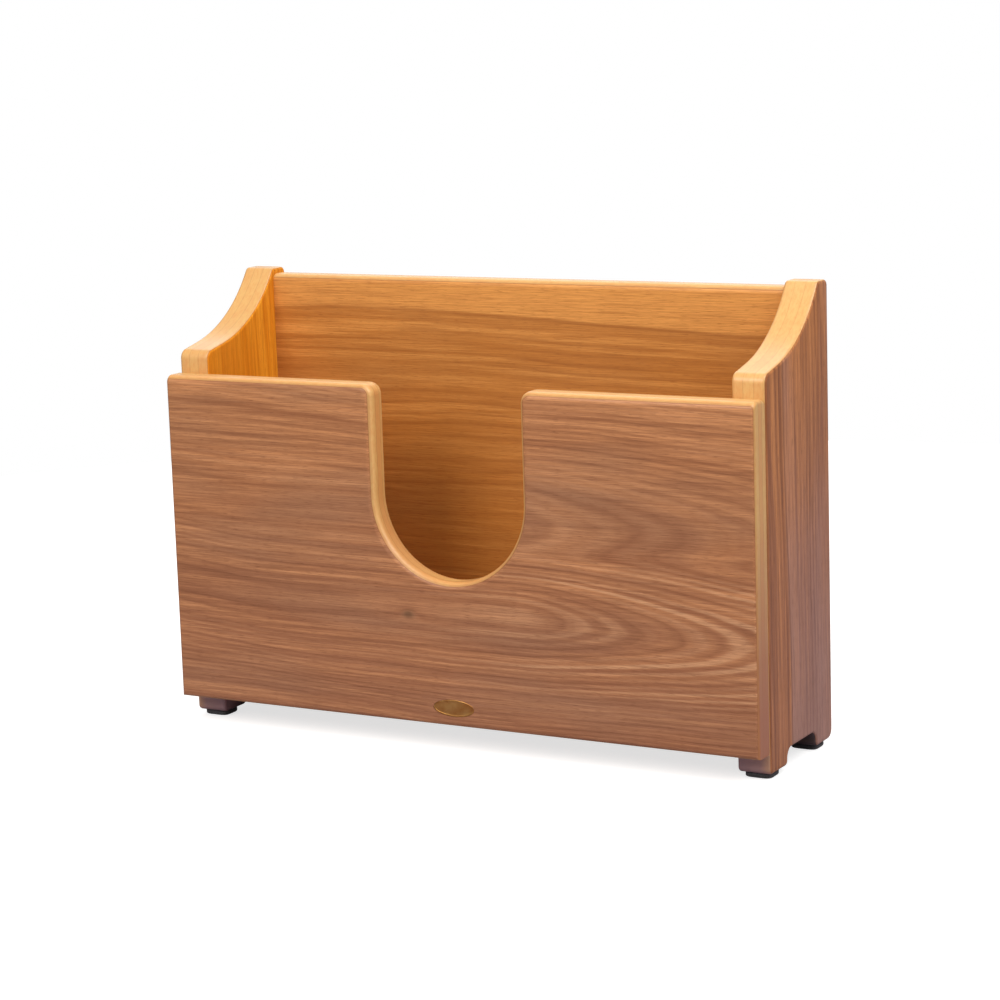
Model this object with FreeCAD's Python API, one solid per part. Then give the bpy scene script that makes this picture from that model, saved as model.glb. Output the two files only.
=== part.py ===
import FreeCAD, Part
import math
import os

# Wooden magazine file holder that stands on a desk: a deep front panel with a U-shaped
# thumb notch, a taller back panel, two coved sides that run down into feet, and a floor.
# Every panel is veneered plywood: a pale core between two face veneers. The panels are
# glued and dowelled, so nothing moves.
#
# Millimetres. +X to the right, +Y to the back, +Z up. The origin is under the middle of
# the holder, on the surface that it stands on.

# Overall
WIDTH = 340.0
DEPTH = 92.0

# Panels
FRONT_THICKNESS = 14.0
SIDE_THICKNESS = 18.0
BACK_THICKNESS = 12.0
FLOOR_THICKNESS = 12.0
VENEER = 0.6

# Heights above the desk
PAD_HEIGHT = 3.0
ARCH_TOP = 11.0
PANEL_BOTTOM = 14.0
FRONT_TOP = 189.0
NOSE_TOP = 200.0
BACK_TOP = 235.0
SIDE_TOP = 238.0

# Thumb notch in the front panel
NOTCH_WIDTH = 86.0
NOTCH_DEPTH = 100.0
NOTCH_CORNER = 6.0

# Side outline, along Y
NOSE_DEPTH = 16.0        # straight top of the nose, before the cove starts
NOSE_SLOPE = 12.0        # degrees that it climbs
NOSE_CORNER = 5.0
TOP_LEDGE = 12.0         # flat top at the back of each side
TOP_CORNER = 3.0
HEEL_CORNER = 5.0
TOE_CORNER = 2.5         # front end of a foot, and both its ends at the arch
FOOT_LENGTH = 21.0
ARCH_CORNER = 5.0

# Eased edges
TOP_ROUND = 4.0          # top edges and thumb notch
END_ROUND = 2.0          # ends and bottom edge of the front panel
SIDE_ROUND = 1.6         # all the way round both sides

# Dowels
DOWEL_RADIUS = 3.0
DOWEL_CHAMFER = 0.7
GLUE_GAP = 1.0           # spare depth at each end of a dowel's hole
SIDE_DOWEL = 30.0        # side into back panel, and side into floor
SIDE_DOWEL_IN_SIDE = 12.0
FRONT_DOWEL = 26.0       # front panel into side, and front panel into floor
FRONT_DOWEL_IN_FRONT = 9.0
BACK_DOWEL = 24.0        # back panel into floor
BACK_DOWEL_IN_BACK = 8.0
FRONT_DOWEL_HEIGHTS = (44.0, 102.0, 162.0)
BACK_DOWEL_HEIGHTS = (52.0, 124.0, 196.0)
FLOOR_DOWEL_SPREAD = (-100.0, 0.0, 100.0)
FLOOR_END_SPREAD = (-18.0, 18.0)

# Foot pads
PAD_WIDTH = 14.5
PAD_LENGTH = 13.0
PAD_CORNER = 4.0
PAD_INSET = 3.0          # from the end of a foot to the pad

# Blank plate let into the front veneer
PLATE_WIDTH = 24.0
PLATE_HEIGHT = 9.0
PLATE_THICKNESS = 0.5
PLATE_BEVEL = 0.2
PLATE_ABOVE_EDGE = 9.5

# Faces of the panels, from the sizes above
RIGHT = WIDTH / 2
BACK = DEPTH / 2
FRONT = -DEPTH / 2
SIDE_FRONT = FRONT + FRONT_THICKNESS
SIDE_INNER = RIGHT - SIDE_THICKNESS
SIDE_MIDDLE = RIGHT - SIDE_THICKNESS / 2
BACK_FRONT = BACK - BACK_THICKNESS
FLOOR_TOP = PANEL_BOTTOM + FLOOR_THICKNESS
FLOOR_MIDDLE = PANEL_BOTTOM + FLOOR_THICKNESS / 2
POCKET_MIDDLE = (SIDE_FRONT + BACK_FRONT) / 2

X_AXIS = FreeCAD.Vector(1, 0, 0)
Y_AXIS = FreeCAD.Vector(0, 1, 0)
Z_AXIS = FreeCAD.Vector(0, 0, 1)
NEAR = 1e-3
ENDLESS = 1000.0


def closed_face(edges):
    """Flat face inside a closed run of edges."""
    return Part.Face(Part.Wire(Part.__sortEdges__(edges)))


def line(start, end):
    return Part.LineSegment(start, end).toShape()


def arc(start, through, end):
    return Part.Arc(start, through, end).toShape()


def box(low, high):
    """Box between two opposite corners."""
    size = high - low
    return Part.makeBox(size.x, size.y, size.z, low)


def corner_arc(before, corner, after, radius):
    """Arc of the given radius that rounds a square corner between two directions."""
    to_before = (before - corner).normalize()
    to_after = (after - corner).normalize()
    start = corner + to_before * radius
    end = corner + to_after * radius
    centre = start + to_after * radius
    through = centre - (to_before + to_after).normalize() * radius
    return start, through, end


def eased(solid, radius, chosen):
    """Round every edge of the solid that the test picks."""
    edges = [edge for edge in solid.Edges if chosen(edge)]
    return solid.makeFillet(radius, edges)


def on_plane(edge, axis, value):
    """True if the whole edge lies on the plane axis = value."""
    low = getattr(edge.BoundBox, axis + "Min")
    high = getattr(edge.BoundBox, axis + "Max")
    return abs(low - value) < NEAR and abs(high - value) < NEAR


def slab(axis, low, high):
    """Endless slab across one axis, for slicing a panel into its layers."""
    corner = FreeCAD.Vector(-ENDLESS, -ENDLESS, -ENDLESS)
    opposite = FreeCAD.Vector(ENDLESS, ENDLESS, ENDLESS)
    setattr(corner, axis, low)
    setattr(opposite, axis, high)
    return box(corner, opposite)


def layers(panel, axis, low, high):
    """Low veneer, core and high veneer of a panel between two faces, drilled for dowels."""
    cuts = (low, low + VENEER, high - VENEER, high)
    return [drilled(panel.common(slab(axis, start, end))) for start, end in zip(cuts, cuts[1:])]


# Dowels -------------------------------------------------------------------------------

def dowel(start, direction, length):
    """Round dowel with chamfered ends."""
    body = Part.makeCylinder(DOWEL_RADIUS, length, start, direction)
    rims = [edge for edge in body.Edges if isinstance(edge.Curve, Part.Circle)]
    return body.makeChamfer(DOWEL_CHAMFER, rims)


def dowel_hole(start, direction, length):
    """Hole for a dowel, with room for glue past both ends."""
    mouth = start - direction * GLUE_GAP
    return Part.makeCylinder(DOWEL_RADIUS, length + 2 * GLUE_GAP, mouth, direction)


def front_side_dowels(side):
    """From the front panel back into one side's front edge."""
    start = SIDE_FRONT - FRONT_DOWEL_IN_FRONT
    return [(FreeCAD.Vector(side * SIDE_MIDDLE, start, z), Y_AXIS, FRONT_DOWEL)
            for z in FRONT_DOWEL_HEIGHTS]


def front_floor_dowels():
    """From the front panel back into the floor's front edge."""
    start = SIDE_FRONT - FRONT_DOWEL_IN_FRONT
    return [(FreeCAD.Vector(x, start, FLOOR_MIDDLE), Y_AXIS, FRONT_DOWEL)
            for x in FLOOR_DOWEL_SPREAD]


def back_floor_dowels():
    """From the back panel forward into the floor's back edge."""
    start = BACK_FRONT + BACK_DOWEL_IN_BACK
    return [(FreeCAD.Vector(x, start, FLOOR_MIDDLE), -Y_AXIS, BACK_DOWEL)
            for x in FLOOR_DOWEL_SPREAD]


def side_back_dowels(side):
    """From one side into the end of the back panel."""
    start = side * (SIDE_INNER + SIDE_DOWEL_IN_SIDE)
    middle = BACK - BACK_THICKNESS / 2
    return [(FreeCAD.Vector(start, middle, z), X_AXIS * -side, SIDE_DOWEL)
            for z in BACK_DOWEL_HEIGHTS]


def side_floor_dowels(side):
    """From one side into the end of the floor."""
    start = side * (SIDE_INNER + SIDE_DOWEL_IN_SIDE)
    return [(FreeCAD.Vector(start, POCKET_MIDDLE + y, FLOOR_MIDDLE), X_AXIS * -side, SIDE_DOWEL)
            for y in FLOOR_END_SPREAD]


SIDE_NAMES = {"left": -1, "right": 1}
DOWEL_GROUPS = {"front_floor_dowels": front_floor_dowels(),
                "back_floor_dowels": back_floor_dowels()}
for side_name, side_sign in SIDE_NAMES.items():
    DOWEL_GROUPS[side_name + "_front_dowels"] = front_side_dowels(side_sign)
    DOWEL_GROUPS[side_name + "_back_dowels"] = side_back_dowels(side_sign)
    DOWEL_GROUPS[side_name + "_floor_dowels"] = side_floor_dowels(side_sign)


def drilled(layer):
    """Layer of a panel with every dowel hole that reaches it."""
    holes = [dowel_hole(*place) for group in DOWEL_GROUPS.values() for place in group]
    return layer.cut(Part.makeCompound(holes))


# Front panel --------------------------------------------------------------------------

def plate_outline(y, inset):
    """Oval outline of the blank plate, drawn in by an inset, on the plane y."""
    half_width = PLATE_WIDTH / 2 - inset
    half_height = PLATE_HEIGHT / 2 - inset
    centre = FreeCAD.Vector(0, y, PANEL_BOTTOM + PLATE_ABOVE_EDGE)
    oval = Part.Ellipse(centre + X_AXIS * half_width, centre + Z_AXIS * half_height, centre)
    return Part.Wire(oval.toShape())


def plate():
    """Thin oval plate with a bevelled rim."""
    shoulder = FRONT + PLATE_BEVEL
    rim = Part.makeLoft([plate_outline(FRONT, PLATE_BEVEL), plate_outline(shoulder, 0)], True)
    flat = Part.Face(plate_outline(shoulder, 0)).extrude(Y_AXIS * (PLATE_THICKNESS - PLATE_BEVEL))
    return rim.fuse(flat).removeSplitter()


def plate_recess():
    return Part.Face(plate_outline(FRONT, 0)).extrude(Y_AXIS * PLATE_THICKNESS)


def front_outline():
    """Rectangle with the U-shaped notch let into its top edge, on the front plane."""
    def at(x, z):
        return FreeCAD.Vector(x, FRONT, z)
    half = NOTCH_WIDTH / 2
    turn = FRONT_TOP - NOTCH_DEPTH + half
    edges = [arc(at(-half, turn), at(0, turn - half), at(half, turn)),
             line(at(-RIGHT, PANEL_BOTTOM), at(RIGHT, PANEL_BOTTOM))]
    for side in SIDE_NAMES.values():
        lip = at(side * half, FRONT_TOP)
        end_corner = at(side * RIGHT, FRONT_TOP)
        start, through, end = corner_arc(at(side * half, turn), lip, end_corner, NOTCH_CORNER)
        edges += [line(at(side * half, turn), start), arc(start, through, end),
                  line(end, end_corner), line(end_corner, at(side * RIGHT, PANEL_BOTTOM))]
    return closed_face(edges)


def is_outer_edge(edge):
    """Ends and bottom edge of the front panel."""
    return (on_plane(edge, "X", RIGHT) or on_plane(edge, "X", -RIGHT)
            or on_plane(edge, "Z", PANEL_BOTTOM))


def front_panel():
    panel = front_outline().extrude(Y_AXIS * FRONT_THICKNESS)
    panel = eased(panel, TOP_ROUND, lambda edge: not is_outer_edge(edge)
                  and (on_plane(edge, "Y", FRONT) or on_plane(edge, "Y", SIDE_FRONT)))
    panel = eased(panel, END_ROUND, lambda edge: is_outer_edge(edge)
                  and on_plane(edge, "Y", FRONT))
    return panel.cut(plate_recess())


# Back panel and floor -----------------------------------------------------------------

def back_panel():
    panel = box(FreeCAD.Vector(-SIDE_INNER, BACK_FRONT, PANEL_BOTTOM),
                FreeCAD.Vector(SIDE_INNER, BACK, BACK_TOP))
    panel = eased(panel, TOP_ROUND, lambda edge: on_plane(edge, "Z", BACK_TOP)
                  and not on_plane(edge, "X", SIDE_INNER)
                  and not on_plane(edge, "X", -SIDE_INNER))
    return panel


def floor_panel():
    return box(FreeCAD.Vector(-SIDE_INNER, SIDE_FRONT, PANEL_BOTTOM),
               FreeCAD.Vector(SIDE_INNER, BACK_FRONT, FLOOR_TOP))


# Sides --------------------------------------------------------------------------------

ARCH_FRONT = SIDE_FRONT + FOOT_LENGTH
ARCH_BACK = BACK - FOOT_LENGTH
SIDE_CORNERS = [(SIDE_FRONT, NOSE_TOP, NOSE_CORNER), (BACK - TOP_LEDGE, SIDE_TOP, TOP_CORNER),
                (BACK, SIDE_TOP, TOP_CORNER), (BACK, PAD_HEIGHT, HEEL_CORNER),
                (ARCH_BACK, PAD_HEIGHT, TOE_CORNER), (ARCH_BACK, ARCH_TOP, ARCH_CORNER),
                (ARCH_FRONT, ARCH_TOP, ARCH_CORNER), (ARCH_FRONT, PAD_HEIGHT, TOE_CORNER),
                (SIDE_FRONT, PAD_HEIGHT, TOE_CORNER)]


def cove(start, end):
    """Concave arc that leaves its start at the nose's slope and climbs to its end."""
    slope = math.radians(NOSE_SLOPE)
    along = FreeCAD.Vector(0, math.cos(slope), math.sin(slope))
    inward = FreeCAD.Vector(0, -math.sin(slope), math.cos(slope))
    chord = end - start
    half_turn = along.getAngle(chord)
    radius = chord.Length / (2 * math.sin(half_turn))
    through = (start + along * (radius * math.sin(half_turn))
               + inward * (radius * (1 - math.cos(half_turn))))
    return arc(start, through, end)


def side_outline():
    """Outline of a side on the plane x = 0, with its corners still sharp."""
    def at(y, z):
        return FreeCAD.Vector(0, y, z)
    nose_climb = NOSE_DEPTH * math.tan(math.radians(NOSE_SLOPE))
    cove_start = at(SIDE_FRONT + NOSE_DEPTH, NOSE_TOP + nose_climb)
    cove_end = at(BACK - TOP_LEDGE, SIDE_TOP)
    rest = [cove_end, at(BACK, SIDE_TOP), at(BACK, PAD_HEIGHT), at(ARCH_BACK, PAD_HEIGHT),
            at(ARCH_BACK, ARCH_TOP), at(ARCH_FRONT, ARCH_TOP), at(ARCH_FRONT, PAD_HEIGHT),
            at(SIDE_FRONT, PAD_HEIGHT), at(SIDE_FRONT, NOSE_TOP), cove_start]
    edges = [line(start, end) for start, end in zip(rest, rest[1:])]
    return closed_face(edges + [cove(cove_start, cove_end)])


def side_panel(side):
    panel = side_outline().extrude(X_AXIS * SIDE_THICKNESS)
    for y, z, radius in SIDE_CORNERS:
        panel = eased(panel, radius, lambda edge: on_plane(edge, "Y", y)
                      and on_plane(edge, "Z", z))
    panel = eased(panel, SIDE_ROUND, lambda edge: on_plane(edge, "X", 0)
                  or on_plane(edge, "X", SIDE_THICKNESS))
    panel.translate(X_AXIS * (SIDE_INNER if side > 0 else -RIGHT))
    return panel


# Foot pads ----------------------------------------------------------------------------

def foot_pad(side, middle):
    """Soft pad stuck under one foot, with rounded corners."""
    pad = box(FreeCAD.Vector(-PAD_WIDTH / 2, -PAD_LENGTH / 2, 0),
              FreeCAD.Vector(PAD_WIDTH / 2, PAD_LENGTH / 2, PAD_HEIGHT))
    upright = [edge for edge in pad.Edges if edge.BoundBox.ZLength > NEAR]
    pad = pad.makeFillet(PAD_CORNER, upright)
    pad.translate(FreeCAD.Vector(side * SIDE_MIDDLE, middle, 0))
    return pad


def foot_pads():
    places = {"front": SIDE_FRONT + PAD_INSET + PAD_LENGTH / 2,
              "back": BACK - HEEL_CORNER - PAD_LENGTH / 2}
    return {place + "_" + name + "_foot_pad": foot_pad(side, middle)
            for place, middle in places.items() for name, side in SIDE_NAMES.items()}


# All pieces ---------------------------------------------------------------------------

def holder():
    """Every piece of the holder by name."""
    pieces = {}
    (pieces["front_face_veneer"], pieces["front_core"],
     pieces["front_inner_veneer"]) = layers(front_panel(), "y", FRONT, SIDE_FRONT)
    (pieces["back_inner_veneer"], pieces["back_core"],
     pieces["back_rear_veneer"]) = layers(back_panel(), "y", BACK_FRONT, BACK)
    (pieces["floor_under_veneer"], pieces["floor_core"],
     pieces["floor_top_veneer"]) = layers(floor_panel(), "z", PANEL_BOTTOM, FLOOR_TOP)
    (pieces["left_outer_veneer"], pieces["left_core"],
     pieces["left_inner_veneer"]) = layers(side_panel(-1), "x", -RIGHT, -SIDE_INNER)
    (pieces["right_inner_veneer"], pieces["right_core"],
     pieces["right_outer_veneer"]) = layers(side_panel(1), "x", SIDE_INNER, RIGHT)
    for name, places in DOWEL_GROUPS.items():
        pieces[name] = Part.makeCompound([dowel(*place) for place in places])
    pieces.update(foot_pads())
    pieces["label_plate"] = plate()
    return pieces


os.makedirs("parts", exist_ok=True)
for name, shape in holder().items():
    shape.exportStep("parts/" + name + ".step")
    print(name, shape.isValid(), len(shape.Solids), round(shape.Volume, 1))
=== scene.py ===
import math
import bmesh
import bpy
from mathutils import Matrix, Vector


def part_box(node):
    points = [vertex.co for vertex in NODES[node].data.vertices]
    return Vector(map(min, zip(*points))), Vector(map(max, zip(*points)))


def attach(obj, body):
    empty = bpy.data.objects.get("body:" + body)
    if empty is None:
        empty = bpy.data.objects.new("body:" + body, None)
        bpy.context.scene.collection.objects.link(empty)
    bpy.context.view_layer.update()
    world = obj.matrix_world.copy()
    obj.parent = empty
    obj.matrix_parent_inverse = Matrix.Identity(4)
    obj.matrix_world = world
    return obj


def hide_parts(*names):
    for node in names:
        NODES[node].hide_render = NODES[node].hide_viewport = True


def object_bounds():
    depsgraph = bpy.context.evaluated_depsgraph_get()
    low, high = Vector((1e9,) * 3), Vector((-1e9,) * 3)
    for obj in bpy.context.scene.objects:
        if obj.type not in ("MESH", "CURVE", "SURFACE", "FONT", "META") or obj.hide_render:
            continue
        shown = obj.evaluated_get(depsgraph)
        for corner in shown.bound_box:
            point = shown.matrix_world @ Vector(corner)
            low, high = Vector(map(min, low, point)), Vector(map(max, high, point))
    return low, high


# Looks of the wooden magazine file holder. Metres, in the frame of the CAD model: +X right,
# +Y to the back, +Z up, with the origin on the floor under the middle of the holder.

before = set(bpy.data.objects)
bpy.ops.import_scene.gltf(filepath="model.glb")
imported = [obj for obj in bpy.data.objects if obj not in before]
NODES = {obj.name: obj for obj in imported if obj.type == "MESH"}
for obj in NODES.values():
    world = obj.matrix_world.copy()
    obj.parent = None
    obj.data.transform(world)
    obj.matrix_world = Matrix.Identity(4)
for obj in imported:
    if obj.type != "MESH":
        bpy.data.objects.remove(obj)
CAD_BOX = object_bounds()

MM = 0.001


def add_object(name, data):
    thing = bpy.data.objects.new(name, data)
    bpy.context.scene.collection.objects.link(thing)
    return thing


# ---------------------------------------------------------------------------------------
# Camera

CAMERA_PLACE = Vector((0.707, -1.248, 0.386))
CAMERA_AZIMUTH = math.radians(29.35)
CAMERA_ELEVATION = math.radians(10.36)
CAMERA_ROLL = math.radians(-1.86)
CAMERA_LENS = 101.1
CAMERA_REACH = (0.05, 50.0)
SENSOR = 36.0


def make_camera():
    data = bpy.data.cameras.new("camera")
    data.sensor_width = SENSOR
    data.lens = CAMERA_LENS
    data.clip_start, data.clip_end = CAMERA_REACH
    camera = add_object("camera", data)
    back = Vector((math.sin(CAMERA_AZIMUTH) * math.cos(CAMERA_ELEVATION),
                   -math.cos(CAMERA_AZIMUTH) * math.cos(CAMERA_ELEVATION),
                   math.sin(CAMERA_ELEVATION)))
    right = Vector((0, 0, 1)).cross(back).normalized()
    up = back.cross(right)
    rolled_right = right * math.cos(CAMERA_ROLL) + up * math.sin(CAMERA_ROLL)
    rolled_up = up * math.cos(CAMERA_ROLL) - right * math.sin(CAMERA_ROLL)
    turn = Matrix((rolled_right, rolled_up, back)).transposed()
    camera.matrix_world = Matrix.Translation(CAMERA_PLACE) @ turn.to_4x4()
    bpy.context.scene.camera = camera


# ---------------------------------------------------------------------------------------
# Light and floor

WORLD_LIGHT = 0.34
WORLD_COLOUR = (1.0, 0.985, 0.97, 1)
BACKDROP = 1.0
WHITE = (1, 1, 1, 1)
TARGET = Vector((0, 0, 0.12))
# place, length of a side, power, colour
LIGHTS = {
    "overhead": (Vector((0.4, -0.35, 1.2)), 0.9, 8.4, (1, 0.985, 0.96)),
    "key": (Vector((-0.3, -1.25, 1.0)), 0.8, 13.5, (1, 0.975, 0.94)),
    "fill": (Vector((1.15, -0.35, 1.1)), 0.8, 10.0, (1, 0.98, 0.96)),
    "behind": (Vector((-0.45, 0.95, 1.0)), 1.0, 6.0, (1, 1, 1)),
}
FLOOR_RADIUS = 0.95
FLOOR_CORNERS = 128
FLOOR_GLOW = 0.70
FLOOR_SEEN = (0.58, 0.58, 0.58, 1)
FLOOR_REFLECTED = (0.36, 0.33, 0.38, 1)
FLOOR_ROUGHNESS = 0.9


def split_for_lens(tree, seen, reflected, output):
    """Show one shader to the lens and the other one to the light that goes round."""
    path = tree.nodes.new("ShaderNodeLightPath")
    mix = tree.nodes.new("ShaderNodeMixShader")
    tree.links.new(path.outputs["Is Camera Ray"], mix.inputs[0])
    tree.links.new(reflected.outputs[0], mix.inputs[1])
    tree.links.new(seen.outputs[0], mix.inputs[2])
    tree.links.new(mix.outputs[0], output.inputs[0])


def make_world():
    """White backdrop, and a dimmer even light from all round."""
    world = bpy.data.worlds.new("studio")
    bpy.context.scene.world = world
    world.use_nodes = True
    tree = world.node_tree
    tree.nodes.clear()
    seen = tree.nodes.new("ShaderNodeBackground")
    seen.inputs["Strength"].default_value = BACKDROP
    seen.inputs["Color"].default_value = WHITE
    lit = tree.nodes.new("ShaderNodeBackground")
    lit.inputs["Strength"].default_value = WORLD_LIGHT
    lit.inputs["Color"].default_value = WORLD_COLOUR
    split_for_lens(tree, seen, lit, tree.nodes.new("ShaderNodeOutputWorld"))


def make_lights():
    """Square soft lights that face the middle of the holder."""
    for name, (place, size, power, colour) in LIGHTS.items():
        data = bpy.data.lights.new(name, "AREA")
        data.shape = "SQUARE"
        data.size = size
        data.energy = power
        data.color = colour
        light = add_object(name, data)
        light.location = place
        light.rotation_mode = "QUATERNION"
        light.rotation_quaternion = (TARGET - place).to_track_quat("-Z", "Y")


def make_floor():
    """Pale round table top.

    The lens sees it glow a little, so that shadows on it stay faint. The holder is lit by
    it as by a mid-grey top, so that its lower parts are darker than its upper ones.
    """
    mesh = bpy.data.meshes.new("studio_floor")
    shape = bmesh.new()
    bmesh.ops.create_circle(shape, cap_ends=True, segments=FLOOR_CORNERS, radius=FLOOR_RADIUS)
    shape.to_mesh(mesh)
    shape.free()
    floor = add_object("studio_floor", mesh)
    material = bpy.data.materials.new("studio_floor")
    material.use_nodes = True
    tree = material.node_tree
    seen = tree.nodes["Principled BSDF"]
    seen.inputs["Base Color"].default_value = FLOOR_SEEN
    seen.inputs["Roughness"].default_value = FLOOR_ROUGHNESS
    seen.inputs["Specular IOR Level"].default_value = 0.0
    seen.inputs["Emission Color"].default_value = WHITE
    seen.inputs["Emission Strength"].default_value = FLOOR_GLOW
    reflected = tree.nodes.new("ShaderNodeBsdfDiffuse")
    reflected.inputs["Color"].default_value = FLOOR_REFLECTED
    split_for_lens(tree, seen, reflected, tree.nodes["Material Output"])
    mesh.materials.append(material)


# ---------------------------------------------------------------------------------------
# Node helpers

class Tree:
    """A material, and short ways to add nodes to it."""

    def __init__(self, name):
        self.material = bpy.data.materials.new(name)
        self.material.use_nodes = True
        self.nodes = self.material.node_tree.nodes
        self.links = self.material.node_tree.links
        self.shader = self.nodes["Principled BSDF"]

    def put(self, socket, value):
        """Link a socket to a node's output, or set its value. A colour is a tuple."""
        if isinstance(value, bpy.types.NodeSocket):
            self.links.new(value, socket)
        elif isinstance(value, tuple):
            socket.default_value = (*value, 1)
        else:
            socket.default_value = value

    def math(self, kind, first, second=None, third=None):
        node = self.nodes.new("ShaderNodeMath")
        node.operation = kind
        for socket, value in zip(node.inputs, (first, second, third)):
            if value is not None:
                self.put(socket, value)
        return node.outputs[0]

    def add(self, first, second):
        return self.math("ADD", first, second)

    def minus(self, first, second):
        return self.math("SUBTRACT", first, second)

    def times(self, first, second):
        return self.math("MULTIPLY", first, second)

    def over(self, first, second):
        return self.math("DIVIDE", first, second)

    def absolute(self, value):
        return self.math("ABSOLUTE", value)

    def largest(self, first, second):
        return self.math("MAXIMUM", first, second)

    def coordinates(self, kind):
        source = self.nodes.new("ShaderNodeTexCoord")
        parts = self.nodes.new("ShaderNodeSeparateXYZ")
        self.links.new(source.outputs[kind], parts.inputs[0])
        return dict(zip("xyz", parts.outputs))

    def place(self):
        """X, Y and Z of the shaded point in the frame of the holder."""
        return self.coordinates("Object")

    def normal(self):
        """X, Y and Z of the surface's own normal, which stays with the piece."""
        return self.coordinates("Normal")

    def noise(self, x, y, z, detail, roughness=0.5):
        """Noise from 0 to 1 at a point. Its coarsest clouds are about one unit wide."""
        point = self.nodes.new("ShaderNodeCombineXYZ")
        for socket, value in zip(point.inputs, (x, y, z)):
            self.put(socket, value)
        node = self.nodes.new("ShaderNodeTexNoise")
        self.links.new(point.outputs[0], node.inputs["Vector"])
        node.inputs["Scale"].default_value = 1.0
        node.inputs["Detail"].default_value = detail
        node.inputs["Roughness"].default_value = roughness
        return node.outputs["Fac"]

    def solid_noise(self, place, scales, detail, roughness=0.5):
        """Noise through the whole piece, with scales per metre along X, Y and Z."""
        point = [self.times(place[axis], scale) for axis, scale in zip("xyz", scales)]
        return self.noise(*point, detail, roughness)

    def ramp(self, value, stops):
        """Colour ramp through (place, colour) stops."""
        node = self.nodes.new("ShaderNodeValToRGB")
        self.put(node.inputs[0], value)
        elements = node.color_ramp.elements
        while len(elements) < len(stops):
            elements.new(1.0)
        for element, (place, colour) in zip(elements, stops):
            element.position = place
            element.color = (*colour, 1)
        return node.outputs[0]

    def grey_ramp(self, value, stops):
        """Ramp through (place, number) stops."""
        return self.ramp(value, [(place, (grey, grey, grey)) for place, grey in stops])

    def mix(self, factor, first, second):
        node = self.nodes.new("ShaderNodeMix")
        node.data_type = "RGBA"
        self.put(node.inputs[0], factor)
        self.put(node.inputs[6], first)
        self.put(node.inputs[7], second)
        return node.outputs[2]

    def span(self, value, low, high):
        """Value from 0 to 1 turned into a number between two others."""
        node = self.nodes.new("ShaderNodeMapRange")
        self.put(node.inputs[0], value)
        node.inputs[3].default_value = low
        node.inputs[4].default_value = high
        return node.outputs[0]

    def finish(self, colour, roughness, height, strength, distance):
        """Set colour and roughness, raise the surface by a height map, and hand it over."""
        self.put(self.shader.inputs["Base Color"], colour)
        self.put(self.shader.inputs["Roughness"], roughness)
        node = self.nodes.new("ShaderNodeBump")
        node.inputs["Strength"].default_value = strength
        node.inputs["Distance"].default_value = distance
        self.put(node.inputs["Height"], height)
        self.links.new(node.outputs[0], self.shader.inputs["Normal"])
        return self.material


# ---------------------------------------------------------------------------------------
# Veneers
#
# What the keys of a palette mean:
# light, middle, dark     the ground between two tones, and the dark parts of the grain
# grey, pale              cloudy patches, and early wood near the heart
# coarseness              width of rings and bands, with the front panel's as 1
# gloss, coat             reflection of the wood and of the varnish on it
# climb                   how much the tone rises per metre of height: painted light, so that higher parts look lit and lower ones shaded
# floor_veil              painted light: how strongly the wood near the floor is veiled pale grey, standing for light thrown up by the floor
# inner_reach             distance from the heart where another strip of wood begins
# border_tone             change of tone at that border
# inner_tone, outer_tone  what comes on top of it on the near side, and well past it

# Pale grey: the colour of cloudy patches on the sides, and of the painted veil of floor light on
# the low parts
GREY_PATCH_AND_VEIL = (0.42, 0.240, 0.205)
OUTSIDE = {"light": (0.58, 0.250, 0.094), "middle": (0.345, 0.130, 0.045),
           "dark": (0.150, 0.048, 0.018), "grey": (0.31, 0.152, 0.076),
           "pale": (0.72, 0.400, 0.205), "coarseness": 1.0,
           "gloss": 0.28, "coat": 0.12, "climb": 0.55, "floor_veil": 0.15}
SIDE_FACE = {"light": (0.64, 0.245, 0.074), "middle": (0.330, 0.108, 0.031),
             "dark": (0.110, 0.034, 0.012), "grey": GREY_PATCH_AND_VEIL,
             "pale": (0.70, 0.350, 0.180), "coarseness": 1.8,
             "gloss": 0.28, "coat": 0.06, "climb": 0.10, "floor_veil": 0.85,
             "inner_reach": 79 * MM,
             "border_tone": 0.05, "inner_tone": -0.06, "outer_tone": -0.05}
INSIDE = {"light": (0.75, 0.325, 0.076), "middle": (0.50, 0.184, 0.034),
          "dark": (0.26, 0.076, 0.012), "grey": (0.44, 0.185, 0.048),
          "pale": (0.80, 0.360, 0.080), "coarseness": 2.0,
          "gloss": 0.22, "coat": 0.10, "climb": 0.30, "floor_veil": 0.0}
# On the back panel the lighter strip along the top is partly the wood's own figure and partly
# painted light, as the top is more lit than the parts shaded by the front panel and sides
BACKING = {**INSIDE, "coarseness": 2.8, "climb": 0.34, "inner_reach": 50.5 * MM,
           "border_tone": -0.10, "inner_tone": 0.20, "outer_tone": 0.0}
SIDE_LINING = {"light": (0.92, 0.385, 0.030), "middle": (0.76, 0.255, 0.013),
               "dark": (0.40, 0.100, 0.005), "grey": (0.68, 0.225, 0.018),
               "pale": (0.94, 0.420, 0.040), "coarseness": 1.6,
               "gloss": 0.12, "coat": 0.05, "climb": 0.0, "floor_veil": 0.0}
KNOT = (0.10, 0.055, 0.024)
GLUE_LINE = (0.26, 0.095, 0.028)

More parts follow.
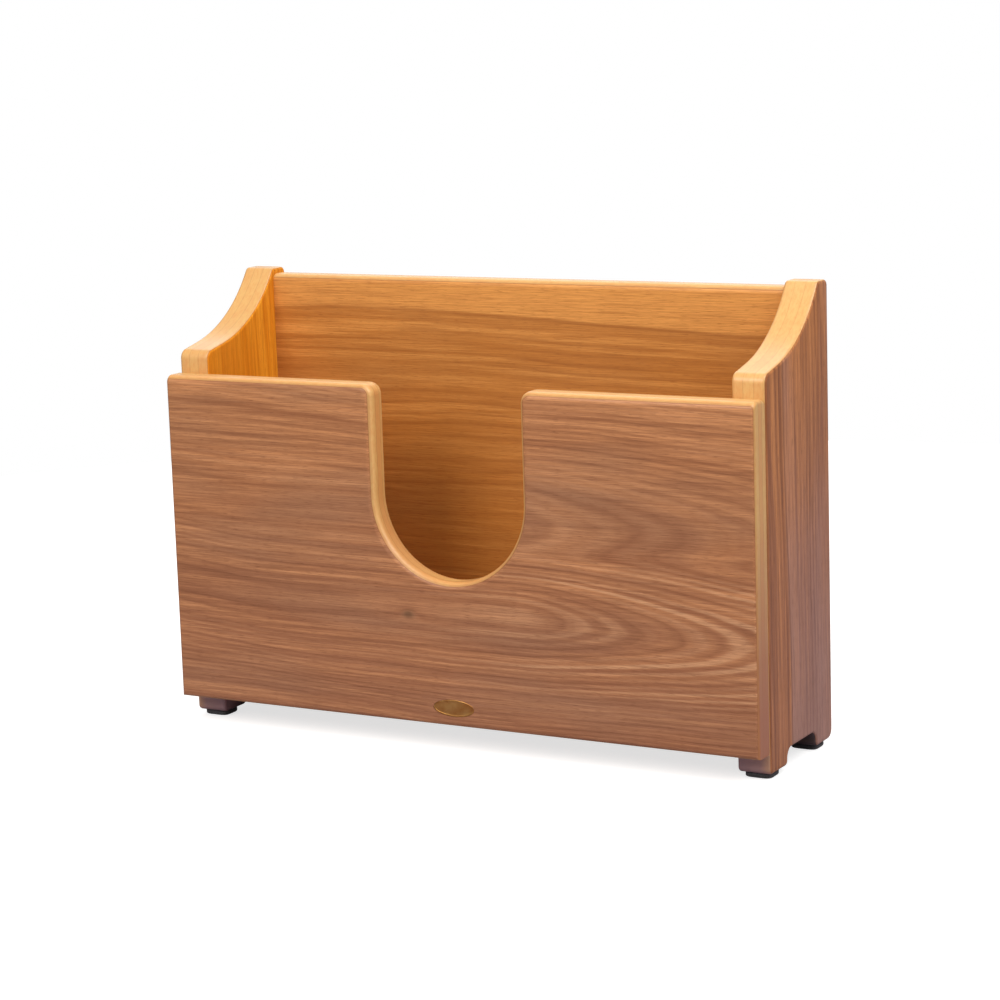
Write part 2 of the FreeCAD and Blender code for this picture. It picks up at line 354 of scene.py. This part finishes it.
# Lengths in the figure
RING_SPACING = 2.0 * MM
BAND = 3.2 * MM
STREAK = 2.4 * MM
FIBRE = 0.35 * MM
PORE = 0.30 * MM
DRIFT = 30 * MM             # how far the rings stray
ARCH_ROUNDING = 2 * MM      # where straight rings turn into arches
HEART_BLEND = 6 * MM        # where the rings of two hearts meet
CROWN_WIDTH = 38 * MM
CROWN_START = 6 * MM
KNOT_PUSH = 2.5 * MM        # how far a knot pushes the rings aside
KNOT_LENGTH = 1.6           # of a knot, against its width
INNER_EDGE = 6 * MM
OUTER_FADE = 15 * MM
VENEER_THICKNESS = 0.6 * MM
RELIEF = 0.06 * MM

# Shares
RING_WOBBLE = 0.45          # of a ring
BAND_SHARE = 0.62           # of the tone; the streaks make up the rest
LATE_STRENGTH = 0.48
PORE_STRENGTH = 0.5

# Clouds of each layer of noise in a metre, along the grain and across it
ALONG = {"drift": 3.5, "wobble": 22.0, "strength": 4.0, "band": 3.0, "streak": 10.0,
         "fibre": 40.0, "pore": 150.0, "patch": 7.0}
ACROSS = {"drift": 9.0, "wobble": 150.0, "patch": 26.0}
STRENGTH_PER_RING = 0.27
# What is added to a veneer's seed, so that its layers of noise differ
SHIFT = {"wobble": 3.0, "strength": 8.4, "band": 7.0, "streak": 9.0, "pore": 11.0, "patch": 17.0}

TOP = CAD_BOX[1].z
MIDDLE_HEIGHT = TOP / 2
COAT_ROUGHNESS = 0.25
COAT_IOR = 1.5
FACE_ON_LOW_SIDE = {"front_face_veneer", "back_inner_veneer", "floor_under_veneer",
                    "left_outer_veneer", "right_inner_veneer"}


def ring_reach(tree, run, side, hearts, lean, seed):
    """Distance from the heart of the trunk that the veneer was cut from, and a number that is
    1 near the first heart, where the rings are cut flat and show broadest.

    Each heart is (place along the grain, place across it, slope, breadth). Up to that place
    the rings run straight, at least breadth away; past it they close in long arches, and the
    smaller the slope, the longer these are. lean tilts the grain on the low side of the
    middle of the panel.
    """
    tilt = tree.times(tree.math("MINIMUM", run, 0.0), lean)
    drift = tree.noise(tree.times(run, ALONG["drift"]), tree.times(side, ACROSS["drift"]),
                       seed, 2.0, 0.45)
    drift = tree.times(tree.minus(drift, 0.5), DRIFT)
    reach, crown = None, 0.0
    for along, across, slope, breadth in hearts:
        offset = tree.add(tree.minus(side, across), tree.add(drift, tilt))
        climb = tree.times(tree.minus(run, along), slope)
        rise = tree.add(tree.math("SMOOTH_MAX", climb, 0.0, ARCH_ROUNDING), breadth)
        length = tree.math("SQRT", tree.add(tree.times(offset, offset), tree.times(rise, rise)))
        if reach is None:
            reach = length
            aside = tree.over(tree.absolute(offset), CROWN_WIDTH)
            start = tree.add(tree.over(climb, CROWN_START), 1.0)
            crown = tree.times(tree.grey_ramp(aside, [(0.4, 1.0), (1.0, 0.0)]),
                               tree.grey_ramp(start, [(0.0, 0.0), (1.0, 1.0)]))
        else:
            reach = tree.math("SMOOTH_MIN", reach, length, HEART_BLEND)
    return reach, crown


def pin_knot(tree, run, side, along, across, size):
    """1 at a small knot and falling away round it, longer along the grain."""
    run_part = tree.over(tree.minus(run, along), size * KNOT_LENGTH)
    side_part = tree.over(tree.minus(side, across), size)
    away = tree.add(tree.times(run_part, run_part), tree.times(side_part, side_part))
    return tree.over(1.0, tree.add(away, 1.0))


def growth_rings(tree, run, side, reach, crown, coarseness, seed):
    """Dark late wood, and pale early wood that shows in the crown only, from 0 to 1."""
    wobble = tree.noise(tree.times(run, ALONG["wobble"]), tree.times(side, ACROSS["wobble"]),
                        seed + SHIFT["wobble"], 2.0)
    rings = tree.add(tree.over(reach, RING_SPACING * coarseness), tree.times(wobble, RING_WOBBLE))
    strength = tree.noise(tree.times(rings, STRENGTH_PER_RING), tree.times(run, ALONG["strength"]),
                          seed + SHIFT["strength"], 2.0, 0.6)
    phase = tree.math("FRACT", rings)
    late = tree.grey_ramp(phase, [(0.0, 0.1), (0.40, 0.0), (0.74, 0.65), (0.88, 1.0), (1.0, 0.1)])
    late = tree.times(late, tree.grey_ramp(strength, [(0.42, 0.05), (0.64, 1.0)]))
    early = tree.grey_ramp(phase, [(0.0, 0.0), (0.16, 1.0), (0.44, 0.9), (0.60, 0.0)])
    early = tree.times(early, tree.grey_ramp(strength, [(0.42, 1.0), (0.60, 0.0)]))
    early = tree.times(early, tree.span(crown, 0.10, 0.75))
    return late, early


def strip_zones(tree, reach, inner_reach):
    """Strip near the heart, its dark border, and the wood well past it, from 0 to 1."""
    share = tree.over(tree.minus(inner_reach, reach), INNER_EDGE)
    inner = tree.grey_ramp(share, [(0.0, 0.0), (0.5, 1.0)])
    border = tree.grey_ramp(share, [(0.0, 0.0), (0.10, 0.9), (0.22, 0.9), (0.35, 0.0)])
    beyond = tree.over(tree.minus(reach, inner_reach), OUTER_FADE)
    outer = tree.grey_ramp(beyond, [(0.0, 0.0), (1.0, 1.0)])
    return inner, border, outer


def cut_rim(tree, node, place, through):
    """1 at the glued face of a veneer, which shows as a dark line where its edge is eased."""
    low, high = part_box(node)
    shown = (low if node in FACE_ON_LOW_SIDE else high)["xyz".index(through)]
    depth = tree.over(tree.absolute(tree.minus(place[through], shown)), VENEER_THICKNESS)
    return tree.grey_ramp(depth, [(0.66, 0.0), (0.86, 0.75)])


def varnish(shader, gloss, coat):
    shader.inputs["Specular IOR Level"].default_value = gloss
    shader.inputs["Coat Weight"].default_value = coat
    shader.inputs["Coat Roughness"].default_value = COAT_ROUGHNESS
    shader.inputs["Coat IOR"].default_value = COAT_IOR


def veneer(node, axes, hearts, palette, seed, lean=0.0, knots=()):
    """Crown-cut veneer: growth rings, colour bands that follow them, fibres and pores.

    axes names the axis along the grain, the one across it and the one through the sheet.
    Each knot is (place along the grain, place across it, half its width).
    """
    tree = Tree(node)
    place = tree.place()
    run, side, depth = [place[axis] for axis in axes]
    coarseness = palette["coarseness"]

    reach, crown = ring_reach(tree, run, side, hearts, lean, seed)
    knot_dark = 0.0
    for along, across, size in knots:
        knot = pin_knot(tree, run, side, along, across, size)
        reach = tree.add(reach, tree.times(knot, KNOT_PUSH))
        knot_dark = tree.largest(knot_dark, tree.grey_ramp(knot, [(0.35, 0.0), (0.9, 0.6)]))
    late, early = growth_rings(tree, run, side, reach, crown, coarseness, seed)

    band = tree.noise(tree.times(run, ALONG["band"]), tree.over(reach, BAND * coarseness),
                      seed + SHIFT["band"], 3.0, 0.6)
    streak = tree.noise(tree.times(run, ALONG["streak"]), tree.over(side, STREAK),
                        seed + SHIFT["streak"], 2.0, 0.6)
    fibre = tree.noise(tree.times(run, ALONG["fibre"]), tree.over(side, FIBRE),
                       tree.over(depth, FIBRE), 3.0, 0.65)
    pore = tree.noise(tree.times(run, ALONG["pore"]), tree.over(side, PORE),
                      seed + SHIFT["pore"], 1.0)
    pores = tree.grey_ramp(pore, [(0.60, 0.0), (0.69, 1.0)])
    patch = tree.noise(tree.times(run, ALONG["patch"]), tree.times(side, ACROSS["patch"]),
                       seed + SHIFT["patch"], 2.0)

    tone = tree.add(tree.times(band, BAND_SHARE), tree.times(streak, 1 - BAND_SHARE))
    # Painted light: the tone rises with height, so that the lower parts look shaded
    tone = tree.add(tone, tree.times(tree.minus(place["z"], MIDDLE_HEIGHT), palette["climb"]))
    greyed = tree.grey_ramp(patch, [(0.45, 0.0), (0.72, 0.6)])
    # Painted light: near the floor the wood is veiled pale grey, standing for light thrown up by
    # the floor
    low_veil = tree.grey_ramp(tree.over(place["z"], TOP), [(0.0, 1.0), (0.5, 0.35), (0.9, 0.0)])
    low_veil = tree.times(low_veil, palette["floor_veil"])
    if "inner_reach" in palette:
        inner, border, outer = strip_zones(tree, reach, palette["inner_reach"])
        late = tree.largest(late, border)
        tone = tree.add(tone, palette["border_tone"])
        tone = tree.add(tone, tree.times(inner, palette["inner_tone"]))
        tone = tree.add(tone, tree.times(outer, palette["outer_tone"]))
        outside = tree.grey_ramp(inner, [(0.0, 1.0), (1.0, 0.15)])
        greyed = tree.times(greyed, outside)
        low_veil = tree.times(low_veil, outside)

    colour = tree.ramp(tone, [(0.41, palette["middle"]), (0.59, palette["light"])])
    colour = tree.mix(greyed, colour, palette["grey"])
    colour = tree.mix(low_veil, colour, GREY_PATCH_AND_VEIL)
    colour = tree.mix(early, colour, palette["pale"])
    colour = tree.mix(tree.times(late, LATE_STRENGTH), colour, palette["dark"])
    colour = tree.mix(tree.grey_ramp(fibre, [(0.35, 0.5), (0.62, 0.0)]), colour, palette["dark"])
    colour = tree.mix(tree.times(pores, PORE_STRENGTH), colour, palette["dark"])
    colour = tree.mix(knot_dark, colour, KNOT)
    colour = tree.mix(cut_rim(tree, node, place, axes[2]), colour, GLUE_LINE)
    # Painted shade on the feet of the sides' inner faces
    if palette is SIDE_LINING:
        colour = paint_foot_shade(tree, colour, place)
    hollows = tree.add(tree.times(pores, 0.8), tree.times(late, 0.25))
    height = tree.minus(tree.times(fibre, 0.35), hollows)
    varnish(tree.shader, palette["gloss"], palette["coat"])
    return tree.finish(colour, tree.span(fibre, 0.38, 0.54), height, 0.35, RELIEF)


# ---------------------------------------------------------------------------------------
# Cores, whose cut edges show

CORE_LONG = (0.69, 0.43, 0.152)
CORE_END = (0.62, 0.250, 0.074)
# Painted shade on the end faces of the cores, deepening towards the floor
CORE_PAINTED_LOW_SHADE = (0.34, 0.115, 0.050)
# Painted shade on the feet, which stand back under the front panel, and painted shadow under the
# arch between them
PAINTED_FOOT_SHADE = (0.29, 0.172, 0.190)
PAINTED_ARCH_SHADOW = (0.050, 0.034, 0.038)
PAINTED_SHADE_TOP = 13.4 * MM
PAINTED_SHADE_WAVER = 0.8 * MM
PAINTED_SHADE_CLOUDS = 300.0        # per metre, as the numbers below
LINE_CLOUDS = 60.0
PATCH_CLOUDS = 35.0
FIBRES_ALONG = 320.0
FIBRES_ACROSS = 900.0
SIDE_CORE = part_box("right_core")
FIRST_LINE = 0.335          # places of the two glue lines, as shares of the thickness
SECOND_LINE = 0.665
LINE_WAVER = 0.05
CORE_GLOSS = 0.35
CORE_COAT = 0.30
CORE_RELIEF = 0.05 * MM


def paint_foot_shade(tree, colour, place):
    """Painted shade on the feet below the front panel: blackest under the arch, where it stands
    for the shadow there, and lighter towards the outer faces, which are painted as more lit.
    """
    low, high = SIDE_CORE
    waver = tree.noise(tree.times(place["x"], PAINTED_SHADE_CLOUDS), tree.times(place["y"], PAINTED_SHADE_CLOUDS),
                       0.0, 2.0)
    height = tree.add(place["z"], tree.times(waver, PAINTED_SHADE_WAVER))
    below = tree.math("LESS_THAN", height, PAINTED_SHADE_TOP)
    outward = tree.over(tree.minus(tree.absolute(place["x"]), low.x), high.x - low.x)
    backward = tree.over(tree.minus(place["y"], low.y), high.y - low.y)
    arch = tree.grey_ramp(backward, [(0.05, 0.0), (0.25, 1.0), (0.80, 1.0), (0.95, 0.0)])
    thinning = tree.grey_ramp(outward, [(0.0, 0.97), (0.7, 0.85), (1.0, 0.45)])
    cover = tree.times(below, tree.largest(tree.times(arch, 0.95), thinning))
    return tree.mix(cover, colour, tree.mix(arch, PAINTED_FOOT_SHADE, PAINTED_ARCH_SHADOW))


def glue_line(place):
    """Ramp stops of a thin line at a share of the thickness."""
    return [(place - 0.020, 0.0), (place - 0.005, 1.0), (place + 0.005, 1.0), (place + 0.020, 0.0)]


def plywood_edge(node, through, face_grain, cross_grain, contrast, seed):
    """Cut edge of a core: three plies with glue lines, each darker where it is end grain, and
    painted shade on the end faces that deepens towards the floor.

    The grain of the middle ply runs along face_grain, that of the outer ones along
    cross_grain, and the plies are stacked along through.
    """
    low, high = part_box(node)
    axis = "xyz".index(through)
    tree = Tree(node)
    place = tree.place()
    normal = tree.normal()
    share = tree.over(tree.minus(place[through], low[axis]), high[axis] - low[axis])
    waver = tree.solid_noise(place, [LINE_CLOUDS] * 3, 2.0)
    share = tree.add(share, tree.times(tree.minus(waver, 0.5), LINE_WAVER))
    middle = tree.grey_ramp(share, [(FIRST_LINE - 0.01, 0.0), (FIRST_LINE + 0.01, 1.0),
                                    (SECOND_LINE - 0.01, 1.0), (SECOND_LINE + 0.01, 0.0)])
    lines = tree.grey_ramp(share, [(0.02, 0.9), (0.08, 0.0),
                                   *glue_line(FIRST_LINE), *glue_line(SECOND_LINE),
                                   (0.92, 0.0), (0.98, 0.9)])
    end_middle = tree.times(tree.absolute(normal[face_grain]), middle)
    end_outer = tree.times(tree.absolute(normal[cross_grain]), tree.minus(1.0, middle))
    end = tree.add(end_middle, end_outer)
    scales = [FIBRES_ACROSS if name == through else FIBRES_ALONG for name in "xyz"]
    fibre = tree.solid_noise(place, scales, 3.0, 0.6)
    patch = tree.solid_noise(place, (PATCH_CLOUDS, PATCH_CLOUDS, PATCH_CLOUDS + seed), 2.0)

    wood = tree.mix(tree.times(end, contrast), CORE_LONG, CORE_END)
    wood = tree.mix(tree.grey_ramp(patch, [(0.4, 0.0), (0.8, 0.3)]), wood, CORE_END)
    wood = tree.mix(tree.grey_ramp(fibre, [(0.32, 0.45), (0.62, 0.0)]), wood, CORE_END)
    # Painted shade: the end faces of the plies darken towards the floor, where less light reaches
    painted_low_shade = tree.grey_ramp(tree.over(place["z"], high.z),
                             [(0.17, 0.95), (0.32, 0.82), (0.50, 0.47), (0.72, 0.08)])
    wood = tree.mix(tree.times(tree.absolute(normal[face_grain]), painted_low_shade), wood, CORE_PAINTED_LOW_SHADE)
    wood = tree.mix(tree.times(lines, contrast), wood, GLUE_LINE)
    varnish(tree.shader, CORE_GLOSS, CORE_COAT)
    # The feet get painted shade below the front panel, and painted shadow under the arch
    return tree.finish(paint_foot_shade(tree, wood, place), tree.span(fibre, 0.34, 0.50),
                       tree.minus(tree.times(fibre, 0.4), lines), 0.3, CORE_RELIEF)


# ---------------------------------------------------------------------------------------
# Wooden pieces

LYING_WIDE = "xzy"       # front and back panels: grain along X, face across Y
STANDING = "zyx"         # sides: grain along Z, face across X
LEVEL = "xyz"            # floor: grain along X, face across Z


def dress(node, material):
    """Give a CAD node its finished material."""
    slots = NODES[node].data.materials
    slots.clear()
    slots.append(material)


def dress_wood():
    faces = {
        "front_face_veneer": (LYING_WIDE, [(0.05, 0.070, 0.09, 24 * MM),
                                           (0.04, 0.121, 0.08, 40 * MM)],
                              OUTSIDE, 2.0, 0.07, [(-0.025, 0.071, 2.6 * MM)]),
        "front_inner_veneer": (LYING_WIDE, [(0.9, 0.11, -0.05, 0)], INSIDE, 5.0),
        "back_inner_veneer": (LYING_WIDE, [(0.9, 0.262, -0.02, 0)], BACKING, 9.0),
        "back_rear_veneer": (LYING_WIDE, [(0.02, 0.12, -0.08, 26 * MM)], OUTSIDE, 13.0),
        "floor_top_veneer": (LEVEL, [(-0.8, 0.09, 0.05, 0)], INSIDE, 21.0),
        "floor_under_veneer": (LEVEL, [(-0.8, -0.08, 0.05, 0)], OUTSIDE, 27.0),
        "left_outer_veneer": (STANDING, [(-0.7, -0.075, 0.05, 0)], SIDE_FACE, 31.0),
        "left_inner_veneer": (STANDING, [(0.9, -0.09, -0.05, 0)], SIDE_LINING, 37.0),
        "right_outer_veneer": (STANDING, [(-0.7, -0.075, 0.05, 0)], SIDE_FACE, 41.0),
        "right_inner_veneer": (STANDING, [(-0.9, 0.08, 0.05, 0)], SIDE_LINING, 43.0),
    }
    for node, looks in faces.items():
        dress(node, veneer(node, *looks))
    # axis through the plies, grain of the middle one, grain of the outer ones, contrast
    cores = {
        "front_core": ("y", "x", "z", 0.45),
        "back_core": ("y", "x", "z", 0.35),
        "floor_core": ("z", "x", "y", 0.6),
        "left_core": ("x", "z", "y", 0.22),
        "right_core": ("x", "z", "y", 0.22),
    }
    for seed, (node, plies) in enumerate(cores.items()):
        dress(node, plywood_edge(node, *plies, seed))


# ---------------------------------------------------------------------------------------
# Dowels, pads and plate

PAD_EDGE = 0.9 * MM         # rounding at the floor
PAD_EDGE_STEPS = 6
PAD_CORNERS = 48
PAD_SQUARENESS = 4.5        # 2 would be an ellipse
DOWEL_FLECKS = 700.0        # per metre, as the numbers below
RUBBER_GRAINS = 1500.0
BRASS_CLOUDS = 180.0
BRUSH_ALONG = 90.0
BRUSH_ACROSS = 6000.0
FINE_RELIEF = 0.05 * MM
BRUSH_RELIEF = 0.02 * MM
PLATE_CORNERS = 96
# Rim and field of the plate, from its outline inwards: inset and depth behind the rim's top
PLATE_PROFILE = [(0.0, 0.25 * MM), (0.12 * MM, 0.06 * MM), (0.35 * MM, 0.0), (0.75 * MM, 0.0),
                 (0.95 * MM, 0.12 * MM), (1.15 * MM, 0.16 * MM), (2.2 * MM, 0.10 * MM),
                 (3.4 * MM, 0.07 * MM)]


def dowel_wood():
    tree = Tree("dowel_beech")
    fleck = tree.solid_noise(tree.place(), [DOWEL_FLECKS] * 3, 3.0, 0.6)
    colour = tree.ramp(fleck, [(0.35, (0.42, 0.24, 0.12)), (0.65, (0.62, 0.42, 0.24))])
    return tree.finish(colour, 0.7, fleck, 0.3, FINE_RELIEF)


def pad_rubber():
    tree = Tree("pad_rubber")
    grain = tree.solid_noise(tree.place(), [RUBBER_GRAINS] * 3, 2.0)
    colour = tree.ramp(grain, [(0.3, (0.042, 0.040, 0.042)), (0.7, (0.082, 0.078, 0.080))])
    return tree.finish(colour, tree.span(grain, 0.7, 0.9), grain, 0.4, FINE_RELIEF)


def plate_brass():
    tree = Tree("plate_brass")
    place = tree.place()
    brushed = tree.noise(tree.times(place["x"], BRUSH_ALONG), tree.times(place["z"], BRUSH_ACROSS),
                         0.0, 3.0)
    cloud = tree.noise(tree.times(place["x"], BRASS_CLOUDS), tree.times(place["z"], BRASS_CLOUDS),
                       4.0, 2.0)
    colour = tree.ramp(cloud, [(0.35, (0.40, 0.17, 0.045)), (0.65, (0.50, 0.27, 0.085))])
    tree.shader.inputs["Metallic"].default_value = 1.0
    return tree.finish(colour, tree.span(brushed, 0.28, 0.46), brushed, 0.15, BRUSH_RELIEF)


def mesh_piece(name, shape, material, slot, *nodes):
    """Turn a bmesh into a smooth piece that stands for CAD nodes."""
    bmesh.ops.recalc_face_normals(shape, faces=shape.faces)
    mesh = bpy.data.meshes.new(name)
    shape.to_mesh(mesh)
    shape.free()
    mesh.shade_smooth()
    mesh.materials.append(material)
    piece = add_object(name, mesh)
    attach(piece, "root")
    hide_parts(*nodes)


def full_turn(steps):
    """Angles evenly round a circle."""
    return [2 * math.pi * step / steps for step in range(steps)]


def bridge(shape, rings):
    """Skin neighbouring rings of vertices and close both ends."""
    for lower, upper in zip(rings, rings[1:]):
        for index in range(len(lower)):
            following = (index + 1) % len(lower)
            shape.faces.new((lower[index], lower[following], upper[following], upper[index]))
    shape.faces.new(list(reversed(rings[0])))
    shape.faces.new(rings[-1])


def make_pad(node, material):
    """Rubber bump: squarish outline, straight wall, and a rounded edge at the floor."""
    low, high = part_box(node)
    middle = (low + high) / 2
    half = (high - low) / 2
    levels = []
    for step in range(PAD_EDGE_STEPS + 1):
        turn = math.pi / 2 * step / PAD_EDGE_STEPS
        levels.append((low.z + PAD_EDGE * (1 - math.cos(turn)), PAD_EDGE * (1 - math.sin(turn))))
    levels.append((high.z, 0.0))
    power = 2 / PAD_SQUARENESS
    shape = bmesh.new()
    rings = []
    for height, inset in levels:
        ring = []
        for turn in full_turn(PAD_CORNERS):
            cos, sin = math.cos(turn), math.sin(turn)
            x = math.copysign(abs(cos) ** power, cos) * (half.x - inset)
            y = math.copysign(abs(sin) ** power, sin) * (half.y - inset)
            ring.append(shape.verts.new((middle.x + x, middle.y + y, height)))
        rings.append(ring)
    bridge(shape, rings)
    mesh_piece(node.replace("_foot_pad", "_rubber_pad"), shape, material, "foot_pad", node)


def make_plate(material):
    """Oval plate: a raised rim round a slightly domed blank field."""
    low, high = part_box("label_plate")
    middle = (low + high) / 2
    half = (high - low) / 2
    levels = [(0.0, high.y)] + [(inset, low.y + depth) for inset, depth in PLATE_PROFILE]
    shape = bmesh.new()
    rings = []
    for inset, y in levels:
        rings.append([shape.verts.new((middle.x + math.cos(turn) * (half.x - inset), y,
                                       middle.z + math.sin(turn) * (half.z - inset)))
                      for turn in full_turn(PLATE_CORNERS)])
    bridge(shape, rings)
    mesh_piece("blank_plate", shape, material, "plate_metal", "label_plate")


def dress_fittings():
    beech = dowel_wood()
    rubber = pad_rubber()
    for node in sorted(NODES):
        if node.endswith("_dowels"):
            dress(node, beech)
        elif node.endswith("_foot_pad"):
            make_pad(node, rubber)
    make_plate(plate_brass())


# ---------------------------------------------------------------------------------------

bpy.context.scene.view_settings.view_transform = "Standard"
make_camera()
make_world()
make_lights()
make_floor()
dress_wood()
dress_fittings()
